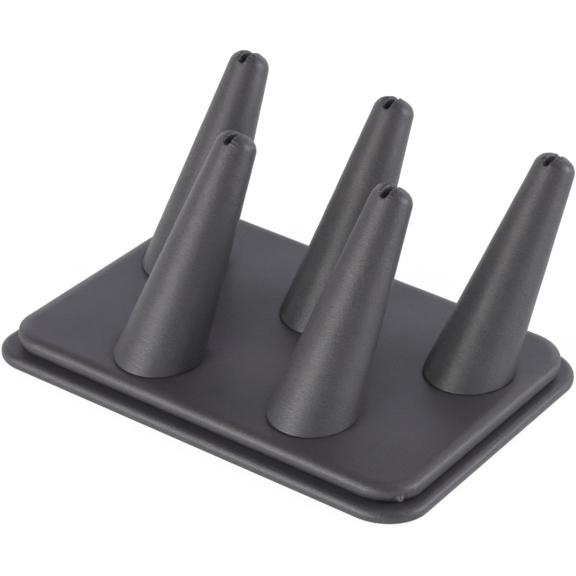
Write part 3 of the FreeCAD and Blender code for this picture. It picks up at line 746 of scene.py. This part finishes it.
def sleeve_surface(finger, seed):
    """The outside of a sleeve: the folded tip, the side, and the foot turned in below.

    Returns the points, the faces, the way down from the tip at each point, its bearing counted
    from the back, and how much it is puckered.
    """
    sizes = finger.sizes
    cap, cap_way, cap_bearing, cap_pucker, rows, columns = tip_cap(finger)
    loop = edge_loop(rows, columns)
    bearing = cap_bearing[loop]
    top_way = cap_way[loop]
    bottom_way = finger.foot_way(bearing) - sizes.foot_turn * 0.6
    rings = []
    ways = []
    for part in np.concatenate([np.linspace(0.0, SIDE_END, SIDE_RINGS)[1:], LAST_RINGS]):
        way = top_way + part * (bottom_way - top_way)
        out, up, _ = finger.outline(way)
        rings.append(np.stack([out * np.cos(bearing), out * np.sin(bearing), up], axis=-1))
        ways.append(way)
    last = finger.place(rings[-1])
    inwards = finger.base[None, :2] - last[:, :2]
    inwards /= np.linalg.norm(inwards, axis=1, keepdims=True)
    radius = last[:, 2] - finger.base[2] + FOOT_SINK
    placed = [finger.place(cap)] + [finger.place(ring) for ring in rings]
    nicks = ripple(seed + 3, bearing * 12.0 * MM, 0.0 * bearing, NICK_SIZE)
    facing = (0.5 - 0.5 * np.cos(bearing - SHOWN_FOOT)) ** 2.5
    turned = sizes.foot_turn * np.maximum(0.15, 0.3 + 0.9 * facing + 0.35 * nicks * facing)
    for turn in np.linspace(0.0, math.pi / 2.0, TURN_POINTS)[1:]:
        ring = last.copy()
        ring[:, :2] += inwards * (turned * (1.0 - math.cos(turn)))[:, None]
        ring[:, 2] = last[:, 2] - radius * math.sin(turn)
        placed.append(ring)
        ways.append(ways[-1] + radius * math.pi / 12.0)
    for inset in (0.3, 1.0):
        ring = placed[-1].copy()
        ring[:, :2] += inwards * sizes.foot_hem * 0.5 * inset
        placed.append(ring)
        ways.append(ways[-1] + sizes.foot_hem * 0.5 * inset)
    faces = skirted_faces(rows, columns, loop, len(placed) - 1)
    points = np.concatenate(placed)
    way = np.concatenate([cap_way] + ways)
    around = np.concatenate([cap_bearing, np.tile(bearing, len(placed) - 1)])
    around = (around - math.pi / 2.0) % math.tau
    pucker = np.concatenate([cap_pucker, np.zeros(len(points) - len(cap))])
    return points, faces, way, around, pucker


UNEVENNESS = 0.03 * MM               # how far pulled cloth departs from a plain surface
PUCKER_SIZE = 0.95 * MM              # spacing of the puckers along the slot
SEAM_WANDER = 0.25 * MM              # how far the back seam strays from a straight line
SEAM_WIDTH = 0.22 * MM               # half the width of the seam's groove
SEAM_TOP = (11.0 * MM, 12.5 * MM)    # way down from the tip at which the seam fades in


def sleeve_relief(finger, seed, way, around, pucker):
    """What stands out of a sleeve: soft unevenness, puckers at the slot and the back seam."""
    sizes = finger.sizes
    raised = UNEVENNESS * ripple(seed, way, around * GIRTH, 9.0 * MM)
    beside = np.sin(around) * way
    along = np.cos(around) * way
    folds = ripple(seed + 1, 0.3 * beside, along, PUCKER_SIZE, 5)
    raised = raised + sizes.pucker * pucker * folds
    from_seam = np.minimum(around, math.tau - around) * GIRTH
    wander = SEAM_WANDER * ripple(seed + 2, way, 0.0 * way, 14.0 * MM)
    from_seam = np.abs(np.where(around > math.pi, -from_seam, from_seam) - wander)
    below = smooth_step(*SEAM_TOP, way)
    return raised - sizes.seam * below * np.exp(-(from_seam / SEAM_WIDTH) ** 2)


# Materials


def new_material(name):
    """A material with only its output and a principled shader, joined."""
    material = bpy.data.materials.new(name)
    material.use_nodes = True
    nodes = material.node_tree.nodes
    nodes.clear()
    output = nodes.new("ShaderNodeOutputMaterial")
    shader = nodes.new("ShaderNodeBsdfPrincipled")
    material.node_tree.links.new(shader.outputs["BSDF"], output.inputs["Surface"])
    return material, shader


def set_inputs(tree, node, **inputs):
    """Give a node's inputs their values or links.

    An underscore in a name stands for a space, and i0 is the first input.
    """
    for name, value in inputs.items():
        socket = node.inputs[int(name[1:]) if name[1:].isdigit() else name.replace("_", " ")]
        if isinstance(value, bpy.types.NodeSocket):
            tree.links.new(value, socket)
        else:
            socket.default_value = value


def add_node(tree, kind, settings=None, **inputs):
    """A node with its settings and its inputs."""
    node = tree.nodes.new(kind)
    for name, value in (settings or {}).items():
        setattr(node, name, value)
    set_inputs(tree, node, **inputs)
    return node


def noise(tree, place, scale, detail, roughness, dimensions="3D"):
    """Uneven values between 0 and 1."""
    return add_node(tree, "ShaderNodeTexNoise", {"noise_dimensions": dimensions}, Vector=place,
                    Scale=scale, Detail=detail, Roughness=roughness).outputs["Fac"]


def colour_mix(tree, factor, first, second):
    """A colour between two."""
    return add_node(tree, "ShaderNodeMix", {"data_type": "RGBA"}, Factor=factor,
                    A=(*first, 1.0), B=(*second, 1.0)).outputs["Result"]


def bump(tree, height, distance=1.0):
    """The normal of a surface with small heights, in metres when the distance is 1."""
    return add_node(tree, "ShaderNodeBump", None, Height=height, Strength=1.0,
                    Distance=distance).outputs["Normal"]


def calculate(tree, operation, first, second=0.0):
    """The result of a sum on two numbers."""
    return add_node(tree, "ShaderNodeMath", {"operation": operation}, i0=first,
                    i1=second).outputs[0]


def stretch(tree, vector, sizes):
    """A vector multiplied by a number in each direction."""
    return add_node(tree, "ShaderNodeVectorMath", {"operation": "MULTIPLY"}, i0=vector,
                    i1=sizes).outputs[0]


def new_group(name, inputs, outputs):
    """An empty shader node group with named inputs and outputs."""
    group = bpy.data.node_groups.new(name, "ShaderNodeTree")
    for side, sockets in (("INPUT", inputs), ("OUTPUT", outputs)):
        for socket_name, kind in sockets:
            group.interface.new_socket(socket_name, in_out=side, socket_type="NodeSocket" + kind)
    return group, group.nodes.new("NodeGroupInput"), group.nodes.new("NodeGroupOutput")


MOTTLE_SCALE = 110.0    # patches of the cloth's uneven shade to a metre
# The two sets of fine lines: how much shorter a line looks along its own way than across, and
# how closely the set is spaced against the finest.
LINE_SETS = ((0.34, 1.0), (0.2, 0.6))
# How much the pebbles, the lines and the mottle lift Raised, and where it starts.
RAISED_PARTS = (0.8, 0.7, 0.5)
RAISED_START = 0.25


def cross_grain_group():
    """Leather cloth: fine pebbles, and fine lines across the way that it is pulled.

    Height is in metres, and Raised runs from about 0 to 1.
    """
    name = "Cross grain"
    if name in bpy.data.node_groups:
        return bpy.data.node_groups[name]
    group, given, result = new_group(
        name,
        (("Place", "Vector"), ("Lie", "Vector"), ("Bend", "Float"), ("Grain size", "Float"),
         ("Grain depth", "Float"), ("Line size", "Float"), ("Line depth", "Float")),
        (("Raised", "Float"), ("Height", "Float")))
    per_grain = calculate(group, "DIVIDE", 1.0, given.outputs["Grain size"])
    per_line = calculate(group, "DIVIDE", 1.0, given.outputs["Line size"])
    pebbles = noise(group, given.outputs["Place"], per_grain, 2.0, 0.55)
    mottle = noise(group, given.outputs["Place"], MOTTLE_SCALE, 4.0, 0.6)
    lines = None
    for reach, pace in LINE_SETS:
        flat = stretch(group, given.outputs["Lie"], (1.0, reach, 0.0))
        pace = calculate(group, "MULTIPLY", per_line, pace)
        ridge = calculate(group, "SUBTRACT", noise(group, flat, pace, 1.5, 0.6, "2D"), 0.5)
        lines = ridge if lines is None else calculate(group, "ADD", lines, ridge)
    bent = calculate(group, "MULTIPLY", lines, given.outputs["Bend"])
    pebbled = calculate(group, "MULTIPLY", calculate(group, "SUBTRACT", pebbles, 0.5), 2.0)
    height = calculate(group, "ADD",
                       calculate(group, "MULTIPLY", pebbled, given.outputs["Grain depth"]),
                       calculate(group, "MULTIPLY", bent, given.outputs["Line depth"]))
    raised = RAISED_START
    for part, amount in zip((pebbled, bent, mottle), RAISED_PARTS):
        raised = calculate(group, "ADD", raised, calculate(group, "MULTIPLY", part, amount))
    set_inputs(group, result, Raised=raised, Height=height)
    return group


RUBBED = 0.04    # how much smoother the raised grain is than the mean, and the dips rougher


def leather_cloth(settings):
    """Dark leather cloth with a satin finish and a fine cross grain."""
    material, shader = new_material(CLOTH_FINISH)
    tree = material.node_tree
    place = add_node(tree, "ShaderNodeTexCoord").outputs["Object"]
    lie = add_node(tree, "ShaderNodeUVMap", {"uv_map": "lie"}).outputs["UV"]
    bend = add_node(tree, "ShaderNodeAttribute", {"attribute_name": "bend"}).outputs["Fac"]
    grain = add_node(tree, "ShaderNodeGroup", {"node_tree": cross_grain_group()},
                     Place=place, Lie=lie, Bend=bend,
                     Grain_size=settings.grain_size, Grain_depth=settings.grain_depth,
                     Line_size=settings.line_size, Line_depth=settings.line_depth)
    shade = colour_mix(tree, grain.outputs["Raised"], settings.shade, settings.raised_shade)
    rough = add_node(tree, "ShaderNodeMapRange", None, Value=grain.outputs["Raised"],
                     From_Min=0.2, From_Max=0.8, To_Min=settings.roughness + RUBBED,
                     To_Max=settings.roughness - RUBBED).outputs["Result"]
    set_inputs(tree, shader, Base_Color=shade, Roughness=rough,
               Normal=bump(tree, grain.outputs["Height"]), Specular_IOR_Level=settings.gloss,
               Coat_Weight=settings.glaze, Coat_Roughness=settings.glaze_roughness)
    return material


def plain_finish(name, shade, roughness, size, depth, stretch_by=(1.0, 1.0, 1.0), metallic=0.0):
    """A finish with an uneven shade and surface, for what the cloth hides."""
    material, shader = new_material(name)
    tree = material.node_tree
    place = add_node(tree, "ShaderNodeTexCoord").outputs["Object"]
    uneven = noise(tree, stretch(tree, place, stretch_by), 1.0 / size, 5.0, 0.65)
    darker = [0.75 * part for part in shade]
    lighter = [min(1.0, 1.2 * part) for part in shade]
    set_inputs(tree, shader, Base_Color=colour_mix(tree, uneven, darker, lighter),
               Normal=bump(tree, uneven, depth), Roughness=roughness, Metallic=metallic)
    return material


def give_material(piece, material):
    piece.data.materials.clear()
    piece.data.materials.append(material)


def cloth_material():
    """The one leather cloth of the whole stand."""
    found = bpy.data.materials.get(CLOTH_FINISH)
    return found or leather_cloth(bpy.context.scene.stand_cloth)


# Operators


# How far over each tier's edge the fine lines across it start, and where they are full.
LOWER_BEND = (0.2 * MM, 1.6 * MM)
UPPER_BEND = (0.4 * MM, 3.6 * MM)
PAD_RIPPLE = 24.0 * MM    # width of the soft waves on the pad
LIE_STEP = 0.13           # moves each sleeve's fine lines on, in metres, so that no two agree


def dressed_cloth(node, points, faces, lie, bend, raised, circuit):
    """A cloth piece in its finish, in place of a node of the frame."""
    thickness = bpy.context.scene.stand_cloth.thickness
    piece = cloth_piece(node + "_cloth", points, faces, lie, bend, raised, circuit, thickness)
    give_material(piece, cloth_material())
    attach(piece, "root")
    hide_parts(node)
    return piece


class STAND_OT_lower_cover(bpy.types.Operator):
    """Wrap the lower tier in its cloth"""

    bl_idname = "ring_stand.lower_cover"
    bl_label = "Lower cover"

    def execute(self, context):
        sizes = context.scene.stand_lower
        box = grown_box(LOWER_BOX, sizes.wider, 0.0)
        points, faces, along, reach, circuit = wrapped_tier(box, sizes)
        raised = gathers(points, box, sizes, 11, along, reach)
        bend = smooth_step(*LOWER_BEND, reach)
        lie = np.stack([along, reach], axis=-1)
        piece = dressed_cloth("lower_cover", points, faces, lie, bend, raised, (circuit, 0.0))
        return {"FINISHED"}


class STAND_OT_upper_cover(bpy.types.Operator):
    """Wrap the padded upper tier in its cloth"""

    bl_idname = "ring_stand.upper_cover"
    bl_label = "Upper cover"

    def execute(self, context):
        sizes = context.scene.stand_upper
        box = grown_box(UPPER_BOX, 0.0, sizes.deeper)
        points, faces, along, reach, circuit = wrapped_tier(box, sizes)
        on_top = points[:, 2] > UPPER_BOX[1].z - 1e-6
        raised = UNEVENNESS * ripple(5, points[:, 0], points[:, 1], PAD_RIPPLE)
        raised = raised * (points[:, 2] > UPPER_BOX[1].z - 2.0 * MM)
        for place in FINGERS.values():
            finger = Finger(context.scene.stand_fingers, *place, UPPER_BOX[1].z)
            gap = finger.clearance(points)
            dip = sizes.foot_dip * (1.0 - smooth_step(-0.3 * MM, sizes.dip_reach, gap) ** 0.6)
            raised = raised - np.where(on_top, dip, 0.0)
        raised = raised + gathers(points, box, sizes, 21, along, reach)
        raised = raised + tuft(points, box, sizes)
        bend = smooth_step(*UPPER_BEND, reach)
        lie = np.stack([along, reach], axis=-1)
        piece = dressed_cloth("upper_cover", points, faces, lie, bend, raised, (circuit, 0.0))
        return {"FINISHED"}


class STAND_OT_sleeves(bpy.types.Operator):
    """Draw a slotted sleeve over each finger's core"""

    bl_idname = "ring_stand.sleeves"
    bl_label = "Sleeves"

    def execute(self, context):
        sizes = context.scene.stand_fingers
        for number, (name, place) in enumerate(FINGERS.items()):
            finger = Finger(sizes, *place, UPPER_BOX[1].z)
            seed = 100 + 10 * number
            points, faces, way, around, pucker = sleeve_surface(finger, seed)
            circuit = GIRTH * math.tau
            lie = np.stack([way + LIE_STEP * number, around / math.tau * circuit], axis=-1)
            raised = sleeve_relief(finger, seed, way, around, pucker)
            bend = np.ones(len(points))
            piece = dressed_cloth(name + "_sleeve", points, faces, lie, bend, raised,
                                  (0.0, circuit))
        return {"FINISHED"}


class STAND_OT_inside(bpy.types.Operator):
    """Finish the boards, foam, cores, screws and felt"""

    bl_idname = "ring_stand.inside"
    bl_label = "Inside"

    def execute(self, context):
        shades = context.scene.stand_inside
        board = plain_finish("pressed_board", shades.board, 0.75, 1.2 * MM, 0.05 * MM)
        wood = plain_finish("core_wood", shades.wood, 0.6, 1.5 * MM, 0.03 * MM,
                            (1.0, 1.0, 0.12))
        foam = plain_finish("pad_foam", shades.foam, 0.9, 0.5 * MM, 0.12 * MM)
        felt = plain_finish("felt_pile", shades.felt, 0.95, 0.3 * MM, 0.1 * MM)
        steel = plain_finish("screw_steel", shades.steel, 0.35, 0.6 * MM, 0.01 * MM,
                             (1.0, 1.0, 4.0), 1.0)
        nodes = frame["nodes"]
        finishes = {"lower_board": board, "upper_board": board, "foam_pad": foam,
                    "base_felt": felt, "finger_screws": steel}
        for name in FINGERS:
            finishes[name + "_core"] = wood
        for name, material in finishes.items():
            give_material(nodes[name], material)
        cover = cloth_material()
        for name in ["lower_cover", "upper_cover"] + [key + "_sleeve" for key in FINGERS]:
            give_material(nodes[name], cover)
        return {"FINISHED"}


def look_from(bearing, height):
    """The unit vector from the stand towards a bearing and height."""
    return Vector((math.sin(bearing) * math.cos(height), -math.cos(bearing) * math.cos(height),
                   math.sin(height)))


def make_camera(stage):
    """The camera, at the bearing, height and roll of the stage."""
    back = look_from(stage.bearing, stage.height)
    right = Vector((math.cos(stage.bearing), math.sin(stage.bearing), 0.0))
    up = back.cross(right)
    rolled_right = math.cos(stage.roll) * right + math.sin(stage.roll) * up
    rolled_up = math.cos(stage.roll) * up - math.sin(stage.roll) * right
    data = bpy.data.cameras.new("stand_camera")
    data.lens = stage.lens / MM
    data.sensor_width = 36.0
    camera = new_object("stand_camera", data)
    place = stage.distance * back + stage.aim_right * rolled_right + stage.aim_up * rolled_up
    turn = Matrix((rolled_right, rolled_up, back)).transposed()
    camera.matrix_world = Matrix.Translation(place) @ turn.to_4x4()
    bpy.context.scene.camera = camera


LAMP_AIM = 0.03    # height of the place that the lamps face, in metres


def make_lamp(stage, name, bearing, height, tint, level):
    """A soft square lamp, a metre from the middle of the stand and facing it."""
    data = bpy.data.lights.new(name, "AREA")
    data.size = stage.lamp_width
    data.color = tint
    data.energy = stage.lamp_level * level
    lamp = new_object(name, data)
    back = look_from(math.radians(bearing), math.radians(height))
    lamp.location = back + Vector((0.0, 0.0, LAMP_AIM))
    lamp.rotation_mode = "QUATERNION"
    lamp.rotation_quaternion = back.to_track_quat("Z", "Y")


def seen_directly(tree):
    """1 for rays from the camera, a reflection or a clear material, else 0."""
    path = tree.nodes.new("ShaderNodeLightPath")
    seen = calculate(tree, "MAXIMUM", path.outputs["Is Camera Ray"],
                     path.outputs["Is Glossy Ray"])
    return calculate(tree, "MAXIMUM", seen, path.outputs["Is Transmission Ray"])


FLOOR_REACH = 6.0      # from the middle of the floor to its sides, in metres
SHADOW_SHARE = 0.12    # how much of the floor's colour is lit, and shadowed, where it is seen
FLOOR_GLOW = 0.92      # and how much white is added to it there


def make_floor(stage):
    """A pale floor that runs out of sight and keeps the stand's shadow."""
    mesh = bpy.data.meshes.new("floor")
    corners = [(x * FLOOR_REACH, y * FLOOR_REACH, 0.0)
               for x, y in ((-1, -1), (1, -1), (1, 1), (-1, 1))]
    mesh.from_pydata(corners, [], [(0, 1, 2, 3)])
    floor = new_object("floor", mesh)
    material = bpy.data.materials.new("pale_floor")
    material.use_nodes = True
    tree = material.node_tree
    tree.nodes.clear()
    output = tree.nodes.new("ShaderNodeOutputMaterial")
    matt = add_node(tree, "ShaderNodeBsdfDiffuse", None, Color=(*stage.floor, 1.0)).outputs[0]
    dim = add_node(tree, "ShaderNodeBsdfDiffuse", None,
                   Color=(*(SHADOW_SHARE * part for part in stage.floor), 1.0)).outputs[0]
    glow = add_node(tree, "ShaderNodeEmission", None, Color=(1.0, 1.0, 1.0, 1.0),
                    Strength=FLOOR_GLOW).outputs[0]
    bright = add_node(tree, "ShaderNodeAddShader", None, i0=dim, i1=glow).outputs[0]
    mix = add_node(tree, "ShaderNodeMixShader", None, Fac=seen_directly(tree), i1=matt, i2=bright)
    tree.links.new(mix.outputs[0], output.inputs["Surface"])
    floor.data.materials.append(material)


def make_surround(stage):
    """A pale wall all round below a dim ceiling, and white where the wall is seen."""
    world = bpy.data.worlds.new("pale_room")
    bpy.context.scene.world = world
    world.use_nodes = True
    tree = world.node_tree
    tree.nodes.clear()
    output = tree.nodes.new("ShaderNodeOutputWorld")
    way = add_node(tree, "ShaderNodeTexCoord").outputs["Generated"]
    up = add_node(tree, "ShaderNodeSeparateXYZ", None, Vector=way).outputs["Z"]
    wall = add_node(tree, "ShaderNodeMapRange", {"interpolation_type": "SMOOTHSTEP"}, Value=up,
                    From_Min=math.sin(stage.wall_top), From_Max=math.sin(2.5 * stage.wall_top),
                    To_Min=1.0, To_Max=stage.ceiling).outputs["Result"]
    soft = add_node(tree, "ShaderNodeBackground", None, Color=(1.0, 1.0, 1.0, 1.0),
                    Strength=stage.surround).outputs[0]
    white = add_node(tree, "ShaderNodeBackground", None, Color=(1.0, 1.0, 1.0, 1.0),
                     Strength=wall).outputs[0]
    mix = add_node(tree, "ShaderNodeMixShader", None, Fac=seen_directly(tree), i1=soft, i2=white)
    tree.links.new(mix.outputs[0], output.inputs["Surface"])


class STAND_OT_stage(bpy.types.Operator):
    """Set up the pale floor, the soft lamps and the camera"""

    bl_idname = "ring_stand.stage"
    bl_label = "Stage"

    def execute(self, context):
        stage = context.scene.stand_stage
        context.scene.view_settings.view_transform = "Standard"
        make_floor(stage)
        make_surround(stage)
        for lamp in LAMPS:
            make_lamp(stage, *lamp)
        make_camera(stage)
        return {"FINISHED"}


class STAND_PT_panel(bpy.types.Panel):
    """The stand's pieces and their sizes"""

    bl_idname = "STAND_PT_panel"
    bl_label = "Ring display stand"
    bl_space_type = "VIEW_3D"
    bl_region_type = "UI"
    bl_category = "Ring stand"

    def draw(self, context):
        for name, operators in PANEL_ROWS:
            box = self.layout.box()
            settings = getattr(context.scene, name)
            for prop in settings.bl_rna.properties:
                if prop.identifier not in {"rna_type", "name"}:
                    box.prop(settings, prop.identifier)
            for operator in operators:
                box.operator(operator.bl_idname)


PANEL_ROWS = (
    ("stand_cloth", ()),
    ("stand_lower", (STAND_OT_lower_cover,)),
    ("stand_upper", (STAND_OT_upper_cover,)),
    ("stand_fingers", (STAND_OT_sleeves,)),
    ("stand_inside", (STAND_OT_inside,)),
    ("stand_stage", (STAND_OT_stage,)),
)

SETTINGS = {
    "stand_cloth": ClothSizes,
    "stand_lower": LowerTierSizes,
    "stand_upper": UpperTierSizes,
    "stand_fingers": FingerSizes,
    "stand_inside": InsideShades,
    "stand_stage": StageSizes,
}

OPERATORS = (STAND_OT_lower_cover, STAND_OT_upper_cover, STAND_OT_sleeves, STAND_OT_inside,
             STAND_OT_stage)


def register():
    for name, group in SETTINGS.items():
        bpy.utils.register_class(group)
        setattr(bpy.types.Scene, name, PointerProperty(type=group))
    for operator in OPERATORS:
        bpy.utils.register_class(operator)
    bpy.utils.register_class(STAND_PT_panel)


def unregister():
    bpy.utils.unregister_class(STAND_PT_panel)
    for operator in reversed(OPERATORS):
        bpy.utils.unregister_class(operator)
    for name, group in SETTINGS.items():
        delattr(bpy.types.Scene, name)
        bpy.utils.unregister_class(group)


def main():
    """Build every piece in order."""
    register()
    bpy.ops.ring_stand.lower_cover()
    bpy.ops.ring_stand.upper_cover()
    bpy.ops.ring_stand.sleeves()
    bpy.ops.ring_stand.inside()
    bpy.ops.ring_stand.stage()


if __name__ == "__main__":
    main()
